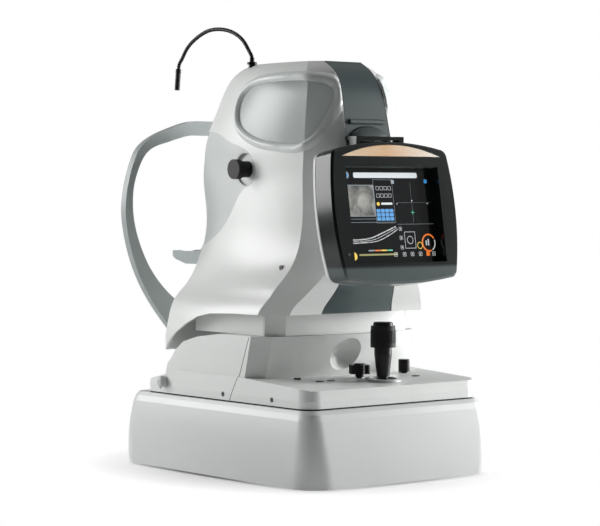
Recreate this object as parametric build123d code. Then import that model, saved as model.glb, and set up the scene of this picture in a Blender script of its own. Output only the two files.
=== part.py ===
"""Table-top joystick eye-examination instrument.

Millimetres. X is the operator's right, Y runs from the operator to the patient, Z is up.
Dimensions are measured from the centre of the base; SHIFT_Y moves everything so that the
origin lies at the bottom centre of the whole instrument.
"""
import math
import os
from build123d import *

os.makedirs("parts", exist_ok=True)

SHIFT_Y = -30.25

# base
BASE_W = 342.0
BASE_L = 447.0
BASE_TOP = 106.0
BASE_WALL = 3.5
FOOT_H = 3.0

# carriage
DECK_W = 310.0
DECK_FRONT = -199.0
DECK_BACK = 180.0
DECK_Z = 107.3
LEDGE_Z = 198.0
CARRIAGE_WALL = 3.0
CHASSIS_Z = 113.0
CHASSIS_T = 3.0

# stage
RAIL_X = 98.0
RACK_X = 112.0
AXLE_Z = 101.0
AXLE_R = 5.0
GEAR_TEETH = 18
MODULE = 1.0
RUN = 0.05

# joystick
STICK = (10.0, -160.0)
PIVOT_Z = 122.0
GRIP_R = 17.5
GRIP_Z0 = 182.0
GRIP_Z1 = 211.5

# head
HEAD_WALL = 3.0
SEAM = 0.35
STRIP_GAP = 0.4
LIFT_TRAVEL = 16.0
ROD_X = 60.0
ROD_Y = 20.0
ROD_R = 6.0

# display
DISPLAY_POS = (0.0, -200.0, 368.0)
DISPLAY_TILT = 9.0
BEZEL_D = 34.0
BACK_D = 12.0
HINGE_Y = -158.0
HINGE_Z = 455.0
PIN_R = 3.0

# side knob and patient window
KNOB_Y = 24.0
KNOB_Z = 428.0
WINDOW_Z = 440.0
SHROUD_R = 55.0
SHROUD_Y = 170.0

# chin rest and hoop
COLUMN_Y = 226.0
CHIN_R = 6.5

# lamp
LAMP_X = -50.0


def save(shape, node):
    """Write one piece in the shared frame."""
    export_step(Pos(0, SHIFT_Y, 0) * shape, "parts/" + node + ".step")
    print(node, round(shape.volume / 1000.0, 1))


def box(x0, x1, y0, y1, z0, z1):
    """Box between two corners."""
    mid = ((x0 + x1) / 2, (y0 + y1) / 2, (z0 + z1) / 2)
    return Pos(*mid) * Box(abs(x1 - x0), abs(y1 - y0), abs(z1 - z0))


def rod(x, y, z0, z1, r):
    """Upright cylinder."""
    return Pos(x, y, (z0 + z1) / 2) * Cylinder(r, z1 - z0)


def rod_x(x0, x1, y, z, r):
    """Cylinder lying along X."""
    return Pos((x0 + x1) / 2, y, z) * Rot(0, 90, 0) * Cylinder(r, abs(x1 - x0))


def rod_y(x, y0, y1, z, r):
    """Cylinder lying along Y."""
    return Pos(x, (y0 + y1) / 2, z) * Rot(90, 0, 0) * Cylinder(r, abs(y1 - y0))


def rounded(z, w, y0, y1, r):
    """Rounded rectangle lying at height z."""
    return Pos(0, (y0 + y1) / 2, z) * RectangleRounded(w, y1 - y0, r)


def side_cut(points, x0, x1, smooth=False):
    """Solid whose side view is the given list of (y, z) points, running from x0 to x1."""
    if smooth:
        edge = Spline(*points[1:-1])
        outline = [
            edge, Line(points[-2], points[-1]), Line(points[-1], points[0]),
            Line(points[0], points[1])
        ]
        face = make_face(Curve() + outline)
    else:
        face = make_face(Polyline(*points, close=True))
    plane = Plane(origin=(x0, 0, 0), x_dir=(0, 1, 0), z_dir=(1, 0, 0))
    return extrude(plane * face, x1 - x0)


# ---------------------------------------------------------------- base
def base_form(d):
    """Flared base body, d millimetres inside the outer skin."""
    levels = [
        (FOOT_H, BASE_W / 2, BASE_L / 2, 42.0),
        (48.0, 169.5, 220.5, 33.0),
        (93.0, 163.0, 210.5, 24.0),
    ]
    top = [
        (93.0, 163.0, 210.5, 24.0),
        (101.0, 160.0, 206.5, 21.0),
        (BASE_TOP - d, 156.5, 201.0, 18.0),
    ]
    low = loft([rounded(z, 2 * (w - d), -(l - d), l - d, r) for z, w, l, r in levels])
    high = loft([rounded(z, 2 * (w - d), -(l - d), l - d, r) for z, w, l, r in top], ruled=True)
    return low + high


base_shell = base_form(0.0) - base_form(BASE_WALL)
base_shell -= box(-120, 120, -58, 58, 90, 120)
base_shell -= box(-35.4, 35.4, 208.6, 240, 20, 120)
base_shell -= box(-75, 75, -195, -118, 104.0, 120)
base_shell -= box(150, 180, 126, 158, 30, 52)
base_shell -= box(150, 180, 166, 188, 34, 48)
for sx in (-1, 1):
    for y in (-190, 170):
        base_shell += rod(sx * 130, y, 12, 60, 5) - rod(sx * 130, y, 11, 30, 1.6)
        wall_y = 217 if y > 0 else -218
        base_shell += box(sx * 130 - 1.5, sx * 130 + 1.5, y, wall_y, 30, 60)
save(base_shell, "base_shell")

plate = extrude(rounded(FOOT_H + 0.5, BASE_W - 12, -(BASE_L / 2 - 6), BASE_L / 2 - 6, 37), 3.0)
for sx in (-1, 1):
    for y in (-190, 170):
        plate -= rod(sx * 130, y, 0, 20, 2.0)
    for y in (-165, 150):
        plate -= rod(sx * 120, y, 0, 20, 7.0)
for i in range(9):
    plate -= box(-60 + 15 * i - 2, -60 + 15 * i + 2, -60, 60, 0, 20)
save(plate, "base_plate")

feet = None
for sx in (-1, 1):
    for y in (-165, 150):
        foot = rod(sx * 120, y, 0, 3.2, 14) + rod(sx * 120, y, 3.2, 9, 6.9) - rod(sx * 120, y, -1, 2, 4)
        feet = foot if feet is None else feet + foot
save(feet, "rubber_feet")

screws = None
for sx in (-1, 1):
    for y in (-190, 170):
        one = (
            rod(sx * 130, y, 0.8, 3.3, 4) + rod(sx * 130, y, 3.3, 26, 1.58)
            - box(sx * 130 - 2.5, sx * 130 + 2.5, y - 0.5, y + 0.5, 0, 1.8)
        )
        screws = one if screws is None else screws + one
save(screws, "base_screws")

tray = box(-136, 136, -72, 72, 80, 83)
for sx in (-1, 1):
    for sy in (-1, 1):
        tray += rod(sx * 129, sy * 65, 83, 102.2, 6)
    tray += box(sx * RAIL_X - 6, sx * RAIL_X + 6, -56, 56, 83, 88)
    tray += box(sx * RAIL_X - 4, sx * RAIL_X + 4, -56, 56, 88, 92)
save(tray, "stage_tray")


def rack_outline():
    """Tooth row seen from the side."""
    pitch = math.pi * MODULE
    pitch_z = AXLE_Z - MODULE * GEAR_TEETH / 2
    points = [(-54.0, 83.3), (-54.0, pitch_z - 1.25)]
    n = 15
    for i in range(-n, n + 1):
        mid = (i + 0.5) * pitch
        points.append((mid - 1.10, pitch_z - 1.25))
        points.append((mid - 0.34, pitch_z + 0.9))
        points.append((mid + 0.34, pitch_z + 0.9))
        points.append((mid + 1.10, pitch_z - 1.25))
    points.append((54.0, pitch_z - 1.25))
    points.append((54.0, 83.3))
    return points


racks = (
    side_cut(rack_outline(), -RACK_X - 4, -RACK_X + 4)
    + side_cut(rack_outline(), RACK_X - 4, RACK_X + 4)
)
save(racks, "stage_racks")

friction = box(-74.7, 74.7, -194.7, -118.3, 104.3, 106.0)
save(friction, "friction_plate")

psu = box(-60, 30, 60, 170, 7.5, 42)
psu = fillet(psu.edges().filter_by(Axis.Z), 3)
for i in range(8):
    psu -= box(-50 + 10 * i - 2, -50 + 10 * i + 2, 70, 160, 40.5, 50)
save(psu, "power_supply")

inlet = box(140, 163.5, 128, 156, 31.5, 50.5) - box(150, 180, 131, 153, 34, 48)
for dy in (-6, 0, 6):
    inlet += box(149, 160, 142 + dy - 0.8, 142 + dy + 0.8, 39, 43)
save(inlet, "power_inlet")

rocker = box(157, 163.6, 168, 186, 35.6, 46.4) & rod_y(155.6, 160, 190, 41, 9.5)
rocker += rod_y(160.3, 167.4, 186.6, 41, 1.5)
save(rocker, "power_rocker")
switch_case = (
    box(146, 162.8, 166.3, 187.7, 34.3, 47.7) - box(154.5, 170, 167.5, 186.5, 35.1, 46.9)
    - rod_y(160.3, 166.9, 187.1, 41, 1.55)
)
save(switch_case, "switch_case")

# ---------------------------------------------------------------- hoop, pad and chin rest
OUTER = [
    (0, 502), (36, 501), (66, 493), (112, 474), (130, 459), (140, 440), (151, 404), (155, 372),
    (151, 335), (138, 290), (118, 250), (88, 209), (60, 178), (38, 158)
]
INNER = [
    (0, 481), (39, 480), (82, 469), (108, 460), (120, 450), (131, 431), (139, 408), (142, 380),
    (139, 350), (129, 318), (113, 286), (90, 257), (66, 236), (36, 218)
]


def half_loop(points):
    """Smooth loop mirrored about the middle."""
    left = [(-x, z) for x, z in points]
    full = list(reversed(points)) + left[1:]
    return make_face(Curve() + [Spline(*full), Line(full[-1], full[0])])


front_plane = Plane(origin=(0, COLUMN_Y, 0), x_dir=(1, 0, 0), z_dir=(0, -1, 0))
hoop = extrude(front_plane * half_loop(OUTER), -12) - extrude(front_plane * half_loop(INNER), -12)
stem = box(-35, 35, 213, 239, 22, 219)
stem = fillet(stem.edges().filter_by(Axis.Z), 8)
stem = chamfer(stem.edges().group_by(Axis.Z)[-1], 3)
hoop = hoop + stem
hoop -= box(-22, 22, 216.5, 235.5, 30, 214)
hoop -= rod(0, COLUMN_Y, 200, 230, 9.3)
save(hoop, "face_hoop")

pad = box(-52, 52, 238.3, 250, 481, 500)
pad = fillet(pad.edges().filter_by(Axis.Y), 6)
pad = fillet(pad.edges().group_by(Axis.Y)[-1], 4)
save(pad, "forehead_pad")

guide = (
    rod(0, COLUMN_Y, 150, 250, 9) + box(-16, 16, 218, 234, 150, 160)
    - rod(0, COLUMN_Y, 140, 260, CHIN_R + RUN)
)
save(guide, "chin_guide")
motor = box(-15, 15, 218, 234, 60, 104) + rod(0, COLUMN_Y, 104, 108, 7)
save(motor, "chin_motor")
chin_screw = rod(0, COLUMN_Y, 108.5, 232, 3.0)
for i in range(24):
    chin_screw -= (
        rod(0, COLUMN_Y, 118 + 4.5 * i, 119.5 + 4.5 * i, 5)
        - rod(0, COLUMN_Y, 117 + 4.5 * i, 121 + 4.5 * i, 2.5)
    )
save(chin_screw, "chin_screw")
chin_rod = rod(0, COLUMN_Y, 150, 291, CHIN_R) - rod(0, COLUMN_Y, 140, 274, 3.05)
save(chin_rod, "chin_rod")

CUP_SIDE = [
    (284, 307), (284, 303), (264, 294), (240, 288), (206, 288), (194, 299), (188, 317), (192, 319),
    (203, 309), (212, 307)
]
cup = side_cut(CUP_SIDE, -37, 37) & (Pos(0, 236, 270) * extrude(RectangleRounded(74, 96, 16), 60))
cup = cup - Pos(0, 250, 352) * Sphere(58)
cup -= rod(0, COLUMN_Y, 280, 291, CHIN_R + RUN)
save(cup, "chin_cup")

# ---------------------------------------------------------------- stage
beam = None
for sx in (-1, 1):
    block = box(sx * 98 - 7.5, sx * 98 + 7.5, -18, 18, 92.4, 108)
    block += (
        box(sx * 98 - 7.5, sx * 98 - 4.4, -18, 18, 88.5, 93)
        + box(sx * 98 + 4.4, sx * 98 + 7.5, -18, 18, 88.5, 93)
    )
    beam = block if beam is None else beam + block
for sy in (-1, 1):
    beam += box(-91, 91, sy * 15 - 2.5, sy * 15 + 2.5, 96, 103)
beam -= rod_x(-130, 130, 0, AXLE_Z, AXLE_R + RUN)
save(beam, "cross_beam")


def gear_face():
    """Toothed wheel outline with tapered flanks and backlash."""
    pitch_r = MODULE * GEAR_TEETH / 2
    step = 2 * math.pi / GEAR_TEETH
    points = []
    for i in range(GEAR_TEETH):
        a = i * step - math.pi / 2
        for da, r in (
                (-0.150, pitch_r - 1.2), (-0.046, pitch_r + 0.8), (0.046, pitch_r + 0.8),
                (0.150, pitch_r - 1.2)
        ):
            points.append((r * math.cos(a + da), r * math.sin(a + da)))
    return make_face(Polyline(*points, close=True))


axle = rod_x(-113.0, 113.0, 0, AXLE_Z, AXLE_R)
for sx in (-1, 1):
    wheel_plane = Plane(origin=(sx * RACK_X - 3.5, 0, AXLE_Z), x_dir=(0, 1, 0), z_dir=(1, 0, 0))
    axle += extrude(wheel_plane * gear_face(), 7)
save(axle, "x_axle")

# ---------------------------------------------------------------- carriage
chassis = box(-142, 142, -150, 140, CHASSIS_Z, CHASSIS_Z + CHASSIS_T)
for x in (-32, 32):
    chassis += box(x - 12, x + 12, -9, 9, 96.5, CHASSIS_Z)
chassis += box(-30, 50, -190, -149, CHASSIS_Z, CHASSIS_Z + CHASSIS_T)
chassis -= rod_x(-60, 60, 0, AXLE_Z, AXLE_R + RUN)
chassis -= rod(STICK[0], STICK[1], 100, 120, 23)
for sx in (-1, 1):
    chassis += rod(sx * ROD_X, ROD_Y, CHASSIS_Z + CHASSIS_T, 132, 12)
    chassis -= rod(sx * ROD_X, ROD_Y, 110, 140, ROD_R)
    chassis -= box(sx * 80 - 18, sx * 80 + 18, 60, 120, 100, 120)
chassis += rod(0, ROD_Y, CHASSIS_Z + CHASSIS_T, 126, 14) - rod(0, ROD_Y, 119, 130, 8.05)
save(chassis, "carriage_chassis")

rods = rod(-ROD_X, ROD_Y, CHASSIS_Z, 250, ROD_R) + rod(ROD_X, ROD_Y, CHASSIS_Z, 250, ROD_R)
save(rods, "lift_rods")
lift_screw = rod(0, ROD_Y, 119.3, 134, 8.0) + rod(0, ROD_Y, 134, 246, 6.0)
for i in range(10):
    lift_screw -= (
        rod(0, ROD_Y, 138 + 5 * i, 140 + 5 * i, 7) - rod(0, ROD_Y, 137 + 5 * i, 141 + 5 * i, 5.2)
    )
save(lift_screw, "lift_screw")
lift_motor = box(-24, 24, 44, 92, CHASSIS_Z + CHASSIS_T + 0.05, 176)
lift_motor = chamfer(lift_motor.edges().filter_by(Axis.Z), 5)
lift_motor += rod(0, 68, 176, 182, 10)
save(lift_motor, "lift_motor")


def wall_outline(z, corner_x, corner_y, side_x, bevel_y, mid_y, back_y):
    """Bow-fronted outline of the carriage wall at height z."""
    pts = [(-corner_x, corner_y), (corner_x, corner_y), (side_x, bevel_y), (side_x - 3, back_y - 30)]
    pts += [
        (side_x - 30, back_y), (-side_x + 30, back_y), (-side_x + 3, back_y - 30),
        (-side_x, bevel_y)
    ]
    front = ThreePointArc(pts[0], (0, mid_y), pts[1])
    rest = [Line(pts[i], pts[(i + 1) % 8]) for i in range(1, 8)]
    return Pos(0, 0, z) * make_face(Curve() + [front] + rest)


def carriage_form(d):
    """Deck slab and overhanging wall, d millimetres inside the outer skin."""
    slab = loft([
        rounded(DECK_Z, DECK_W - 2 * d, DECK_FRONT + d, DECK_BACK - d, 24),
        rounded(118.0, DECK_W + 1.0 - 2 * d, DECK_FRONT - 0.5 + d, DECK_BACK - 1 - d, 22),
        rounded(146.0, DECK_W - 5.0 - 2 * d, DECK_FRONT + 2.5 + d, DECK_BACK - 4 - d, 20),
    ], ruled=True)
    lean = 0.05
    top = [
        (-230, 131.8 - d), (DECK_FRONT + 4, 131.8 - d), (DECK_FRONT + 14, 134.0 - d),
        (-40, 134.0 + 159 * lean - d)
    ]
    top += [(100, 141 - d), (150, 130 - d), (190, 119 - d), (230, 119 - d), (230, 90), (-230, 90)]
    slab = slab & side_cut(top, -200, 200)
    wall = loft([
        wall_outline(126.0, 131 - d, -73 + d, 151.5 - d, -53 + d, -76 + d, 168 - d),
        wall_outline(LEDGE_Z - d, 127 - d, -86 + d, 147 - d, -65 + d, -114 + d, 150 - d),
    ], ruled=True)
    side = [
        (-150, LEDGE_Z - d), (10, LEDGE_Z - d), (62, 191.5 - d), (96, 182.5 - d), (114, 170 - d),
        (126, 155 - d)
    ]
    side += [(140, 145 - d), (190, 119 - d), (190, 100), (-150, 100)]
    wall = wall & side_cut(side, -200, 200)
    return slab + wall


def neck_form(d):
    """Neck band that reaches up inside the head."""
    a = wall_outline(LEDGE_Z + 0.4, 108 - d, -93 + d, 129 - d, -72 + d, -102 + d, 122 - d)
    b = wall_outline(230.0, 108 - d, -93 + d, 129 - d, -72 + d, -102 + d, 122 - d)
    c = wall_outline(248.0, 98 - d, -93 + d, 117 - d, -74 + d, -101 + d, 112 - d)
    return loft([a, b], ruled=True) + loft([b, c], ruled=True)


scoop = (Pos(-6, -108, 165) * Sphere(28)) & box(-60, 60, -150, -60, 141.2, 200)
cover = carriage_form(0.0) - carriage_form(CARRIAGE_WALL)
cover -= box(-102, 102, -84, 104, 190, 205)
hood = box(-40, 28, -120, -76, 138.0, 196) & carriage_form(1.0)
cover = cover + hood - scoop

FRONT_SEAM = [(-300, 90), (-20, 90), (-27, 107), (-42, 139), (-61, 198), (-62, 215), (-300, 215)]
SEAM_BACK = [(y + SEAM, z) for y, z in FRONT_SEAM]
deck = cover & side_cut(FRONT_SEAM, -220, 220)
backs = cover - side_cut(SEAM_BACK, -220, 220)
side_left = backs & box(-220, -SEAM / 2, -220, 260, 0, 260)
side_right = backs & box(SEAM / 2, 220, -220, 260, 0, 260)

OVALS = [(-77.0, -129.0), (-57.5, -129.0), (89.0, -139.0)]
ROUND_BUTTON = (-92.0, -98.0)
LOCK = (-2.0, -124.0)
DIMMER = (98.0, -104.0)


def deck_height(y):
    """Height of the sloping deck at y."""
    return 134.0 + (y - DECK_FRONT - 14) * 0.05


def oval(x, y, a, b, z0, z1):
    """Upright oval post."""
    return Pos(x, y, z0) * extrude(Ellipse(a, b), z1 - z0)


deck -= rod(STICK[0], STICK[1], 120, 150, 23)
for x, y in OVALS:
    deck -= oval(x, y, 7.5, 4.5, 110, 150)
deck -= rod(ROUND_BUTTON[0], ROUND_BUTTON[1], 110, 160, 5.5)
deck -= rod(LOCK[0], LOCK[1], 110, 160, 4.6)
deck -= rod(DIMMER[0], DIMMER[1], 110, 160, 4.6)
for x, y in OVALS:
    z = deck_height(y) - 3
    deck += oval(x, y, 9, 6, z - 5, z) - oval(x, y, 7.5, 4.5, z - 6, z + 1)
deck += box(-120, -70, -150, -147, 116.1, 134) + box(70, 120, -150, -147, 116.1, 134)


def side_screws(shape, spots, face_x):
    """Counterbored holes for screws that enter from both sides."""
    for sx in (-1, 1):
        for y, z in spots:
            shape = (
                shape - rod_x(sx * (face_x - 2.0), sx * 170, y, z, 3.6)
                - rod_x(sx * (face_x - 12), sx * 170, y, z, 1.8)
            )
    return shape


DECK_SPOT = [(-122.0, 116.0)]
SIDE_SPOTS = [(-12.0, 116.0), (138.0, 117.0)]
deck = side_screws(deck, DECK_SPOT, DECK_W / 2)
side_left = side_screws(side_left, SIDE_SPOTS, DECK_W / 2)
side_right = side_screws(side_right, SIDE_SPOTS, DECK_W / 2)
transport_z = 124.0
side_left -= rod_x(-170, -130, 128, transport_z, 3.05)
save(deck, "deck_cover")
save(side_left, "side_cover_left")
save(side_right, "side_cover_right")

deck_screws = None
for sx in (-1, 1):
    for y, z in DECK_SPOT + SIDE_SPOTS:
        one = rod_x(sx * 153.1, sx * 154.9, y, z, 3.3) + rod_x(sx * 144, sx * 153.2, y, z, 1.5)
        one -= box(sx * 153.9, sx * 156, y - 2.2, y + 2.2, z - 0.4, z + 0.4)
        one -= box(sx * 153.9, sx * 156, y - 0.4, y + 0.4, z - 2.2, z + 2.2)
        deck_screws = one if deck_screws is None else deck_screws + one
save(deck_screws, "deck_screws")

neck = neck_form(0.0) - (loft([
    wall_outline(190.0, 105, -90, 126, -69, -99, 119),
    wall_outline(230.5, 105, -90, 126, -69, -99, 119),
], ruled=True) + loft([
    wall_outline(230.5, 105, -90, 126, -69, -99, 119),
    wall_outline(260.0, 88.6, -90, 106, -72, -98, 103),
], ruled=True))
neck -= box(-140, -122, -69.5, -68.7, 190, 260) + box(122, 140, -69.5, -68.7, 190, 260)
save(neck, "neck_cover")

# ---------------------------------------------------------------- joystick
ring = Cylinder(25, 3.8)
ring = fillet(ring.edges().group_by(Axis.Z)[-1], 2.2)
ring = Pos(STICK[0], STICK[1], deck_height(STICK[1]) + 2.2) * Rot(2.862, 0, 0) * ring
ring += rod(STICK[0], STICK[1], CHASSIS_Z + CHASSIS_T + 0.1, 137, 22.4)
ring -= rod(STICK[0], STICK[1], 110, 145, 19)
ring -= rod_x(STICK[0] - 30, STICK[0] + 30, STICK[1], PIVOT_Z, 1.5 + RUN)
save(ring, "joystick_ring")

gimbal = (
    rod(STICK[0], STICK[1], PIVOT_Z - 3.5, PIVOT_Z + 3.5, 16)
    - rod(STICK[0], STICK[1], 110, 130, 12.5)
)
gimbal -= rod_y(STICK[0], STICK[1] - 20, STICK[1] + 20, PIVOT_Z, 1.5 + RUN)
for sx in (-1, 1):
    gimbal += rod_x(STICK[0] + sx * 15.5, STICK[0] + sx * 21.5, STICK[1], PIVOT_Z, 1.5)
save(gimbal, "joystick_gimbal")

stem = rod(STICK[0], STICK[1], 126, 142, 7.2)
taper = Pos(STICK[0], STICK[1], (142 + 172) / 2) * Cone(8.8, 12.2, 30)
stem += taper + rod(STICK[0], STICK[1], 172, 181.6, 12.2) + rod(STICK[0], STICK[1], 181, 205, 6.0)
stem += rod(STICK[0], STICK[1], 117, 127, 6.0) + rod(STICK[0], STICK[1], 109, 118, 3.0)
stem += Pos(STICK[0], STICK[1], 110.8) * Sphere(4.0)
stem += rod_y(STICK[0], STICK[1] - 15.6, STICK[1] + 15.6, PIVOT_Z, 1.5)
stem -= rod(STICK[0], STICK[1], 188, 210, 3.05)
save(stem, "joystick_stem")

grip = rod(STICK[0], STICK[1], 182, 206.5, GRIP_R) + rod(STICK[0], STICK[1], 206, GRIP_Z1, GRIP_R - 0.5)
for i in range(36):
    a = math.radians(10 * i)
    x = STICK[0] + (GRIP_R + 0.1) * math.cos(a)
    y = STICK[1] + (GRIP_R + 0.1) * math.sin(a)
    grip -= rod(x, y, 188, 205, 0.7)
grip -= rod(STICK[0], STICK[1], 180, 214, 6.05)
grip -= rod(STICK[0], STICK[1], 206.5, 214, 14.6)
save(grip, "joystick_grip")

button = rod(STICK[0], STICK[1], 209.2, 216.8, 13.8)
button = fillet(button.edges().group_by(Axis.Z)[-1], 2.5)
button += rod(STICK[0], STICK[1], 192, 210, 3.0)
save(button, "joystick_button")

# ---------------------------------------------------------------- controls on the deck
lock = rod(LOCK[0], LOCK[1], 139.2, 143.6, 6.0) + rod(LOCK[0], LOCK[1], 118, 141, 4.0)
star = rod(LOCK[0], LOCK[1], 143.6, 156.0, 15.0)
for i in range(6):
    a = math.radians(60 * i + 30)
    star -= rod(LOCK[0] + 18.5 * math.cos(a), LOCK[1] + 18.5 * math.sin(a), 140, 160, 7.0)
star += rod(LOCK[0], LOCK[1], 155, 158, 8)
save(lock + star, "lock_knob")

dimmer = rod(DIMMER[0], DIMMER[1], 139.6, 158.0, 8.0)
dimmer = fillet(dimmer.edges().group_by(Axis.Z)[-1], 1.0)
dimmer += rod(DIMMER[0], DIMMER[1], 119, 141, 4.0)
for i in range(24):
    a = math.radians(15 * i)
    dimmer -= rod(DIMMER[0] + 8.2 * math.cos(a), DIMMER[1] + 8.2 * math.sin(a), 142, 155, 0.5)
save(dimmer, "dimmer_knob")

for i in range(3):
    x, y = OVALS[i]
    z = deck_height(y)
    cap = oval(x, y, 7.0, 4.0, z - 6, z + 1.2)
    cap += oval(x, y, 9.0, 6.0, z - 10.6, z - 8.6) + oval(x, y, 7.0, 4.0, z - 9, z - 5)
    save(cap, "push_button_" + str(i + 1))
x, y = ROUND_BUTTON
z = deck_height(y)
save(rod(x, y, z - 6, z + 2.5, 5.0) + rod(x, y, z - 8.6, z - 5, 7.5), "push_button_4")

transport = rod_x(-165.5, -156.2, 128, transport_z, 8.0)
transport = fillet(transport.edges().group_by(Axis.X)[0], 5.0)
transport += rod_x(-157, -140, 128, transport_z, 3.0)
save(transport, "transport_knob")

# ---------------------------------------------------------------- head
# height, strip half width, front y, crease half width, crease y, side half width, back half width, back y
HEAD = [
    (160.0, 122.0, -112.0, 149.0, -72.0, 151.0, 140.0, 158.0),
    (178.0, 121.5, -112.7, 148.5, -74.0, 150.5, 139.5, 156.5),
    (196.0, 121.0, -113.5, 148.0, -76.0, 150.0, 139.0, 155.0),
    (212.0, 120.4, -114.5, 147.2, -77.5, 148.6, 136.0, 154.5),
    (228.0, 119.5, -116.0, 146.0, -79.0, 146.0, 132.0, 154.0),
    (246.0, 111.0, -124.0, 137.0, -86.0, 136.0, 120.0, 156.0),
    (266.0, 95.0, -136.0, 124.0, -93.0, 122.0, 100.0, 156.0),
    (284.0, 78.0, -141.0, 110.0, -98.0, 110.0, 92.0, 150.0),
    (304.0, 61.0, -141.0, 97.0, -99.0, 100.0, 85.0, 147.0),
    (334.0, 48.0, -141.0, 87.0, -99.0, 93.0, 77.0, 146.0),
    (384.0, 42.0, -141.0, 84.0, -100.0, 90.0, 76.0, 147.0),
    (430.0, 41.0, -141.0, 84.0, -100.0, 90.0, 76.0, 151.0),
    (466.0, 41.0, -141.0, 84.0, -102.0, 92.0, 75.0, 146.0),
    (496.0, 40.0, -135.0, 84.0, -104.0, 92.0, 74.0, 130.0),
    (526.0, 38.0, -129.0, 80.0, -102.0, 88.0, 68.0, 118.0),
    (550.0, 36.0, -119.0, 72.0, -94.0, 80.0, 62.0, 108.0),
    (568.0, 35.0, -101.0, 60.0, -80.0, 68.0, 56.0, 89.0),
    (578.0, 32.0, -86.0, 48.0, -68.0, 54.0, 46.0, 67.0),
]


def head_outline(z, strip, front, crease, crease_y, side, back, back_y, d):
    """One level of the head: flat strip, bevels, bowed sides and a rounded nose."""
    strip = strip - 0.4 * d
    front = front + d
    crease = crease - d
    crease_y = crease_y + 0.4 * d
    side = side - d
    back = back - d
    back_y = back_y - d
    turn = back_y - 9
    a = (-strip, front)
    b = (strip, front)
    c = (crease, crease_y)
    e = (back, turn)
    mid_y = 0.5 * (crease_y + turn) - 12
    edges = [
        Line(a, b),
        Line(b, c),
        ThreePointArc(c, (side, mid_y), e),
        ThreePointArc(e, (0, back_y), (-e[0], e[1])),
        ThreePointArc((-e[0], e[1]), (-side, mid_y), (-c[0], c[1])),
        Line((-c[0], c[1]), a),
    ]
    return Pos(0, 0, z) * make_face(Curve() + edges)


def head_form(d, low=0):
    """Whole head, d millimetres inside the outer skin."""
    levels = []
    for row in HEAD[low:]:
        z = row[0]
        if z > 570:
            z = z - d
        elif z > 560:
            z = z - 0.6 * d
        levels.append(head_outline(z, *row[1:], d))
    return loft(levels)


outer = head_form(0.0)
inner = head_form(HEAD_WALL)
shell = outer - inner
ARCH = [
    (-200, 228.5), (-20, 228.0), (30, 226.0), (62, 220.0), (92, 208.5), (118, 195.0), (140, 178.5),
    (148, 168), (200, 168)
]
below = side_cut([(-200, 100)] + ARCH + [(200, 100)], -200, 200)
shell = shell - below

STRIP = [
    (-64, 228), (64, 228), (52, 262), (45, 290), (42, 330), (41, 384), (40, 430), (40, 470),
    (38.5, 500), (36.5, 530), (34.5, 554), (33, 600)
]


def strip_region(gap):
    """Tapered band on the operator side and over the front of the top."""
    right = [(x + gap, z) for x, z in STRIP[1:]]
    left = [(-x, z) for x, z in reversed(right)]
    face = make_face(Polyline((-66 - gap, 200), (66 + gap, 200), *right, *left, close=True))
    plane = Plane(origin=(0, -60, 0), x_dir=(1, 0, 0), z_dir=(0, -1, 0))
    return extrude(plane * face, 120)


spine = shell & (strip_region(-STRIP_GAP / 2) + box(-33 + 0.2, 33 - 0.2, -100, -38, 571, 600))
rest = shell - (strip_region(STRIP_GAP / 2) + box(-33.2, 33.2, -100, -37.6, 566, 600))

NOSE = [
    (128, 483), (110, 482), (91, 479), (68, 470), (44, 463), (20, 456), (3, 443), (-2, 428),
    (4, 413), (24, 402), (40, 389), (58, 367), (86, 341), (110, 328), (130, 319)
]
NOSE_EDGE = Spline(*NOSE)
nose_face = make_face(
    Curve() + [NOSE_EDGE, Line(NOSE[-1], (240, 319)), Line((240, 319), (240, 483)), Line((240, 483), NOSE[0])]
)
nose_big = extrude(Plane(origin=(-150, 0, 0), x_dir=(0, 1, 0), z_dir=(1, 0, 0)) * nose_face, 300)
nose_small = Pos(0, 0.5, 0) * nose_big
nose_skin = head_form(1.0) - head_form(3.6)
nose = nose_skin & nose_small
rest = rest - nose_big

PANEL = [
    (46, 512), (38, 536), (10, 550), (-46, 554), (-100, 552), (-122, 538), (-124, 510), (-112, 474),
    (-92, 459), (-46, 461), (2, 470), (36, 488)
]


def panel_region(grow):
    """Rounded D on the side of the head."""
    cy = -40.0
    cz = 507.0
    ky = 1 + grow / 80.0
    kz = 1 + grow / 44.0
    points = [(cy + (y - cy) * ky, cz + (z - cz) * kz) for y, z in PANEL]
    face = make_face(Spline(*points, periodic=True))
    return Plane(origin=(0, 0, 0), x_dir=(0, 1, 0), z_dir=(1, 0, 0)) * face


d_left = extrude(panel_region(0), amount=130, dir=(-1, 0, 0)) - box(-42, 42, -200, 100, 400, 600)
d_right = extrude(panel_region(0), amount=130, dir=(1, 0, 0)) - box(-42, 42, -200, 100, 400, 600)
d_left_in = (
    extrude(panel_region(-0.4), amount=130, dir=(-1, 0, 0)) - box(-42.5, 42.5, -200, 100, 400, 600)
)
d_right_in = (
    extrude(panel_region(-0.4), amount=130, dir=(1, 0, 0)) - box(-42.5, 42.5, -200, 100, 400, 600)
)
panel_skin = head_form(2.2) - head_form(5.0)
panel_left = panel_skin & d_left_in
panel_right = panel_skin & d_right_in
rest = rest - d_left - d_right

recess = rod_x(-130, -84, KNOB_Y, KNOB_Z, 23.0)
recess_wall = rod_x(-96, -81.5, KNOB_Y, KNOB_Z, 25.0) & head_form(1.2)
nose = nose - rod_x(-130, -70, KNOB_Y, KNOB_Z, 25.0) + recess_wall - recess
nose -= rod_x(-90, -70, KNOB_Y, KNOB_Z, 4.05)
nose -= rod_y(0, 100, 200, WINDOW_Z, SHROUD_R + 0.4)
rest = rest - rod_y(0, 100, 200, WINDOW_Z, SHROUD_R + 0.4)

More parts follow.
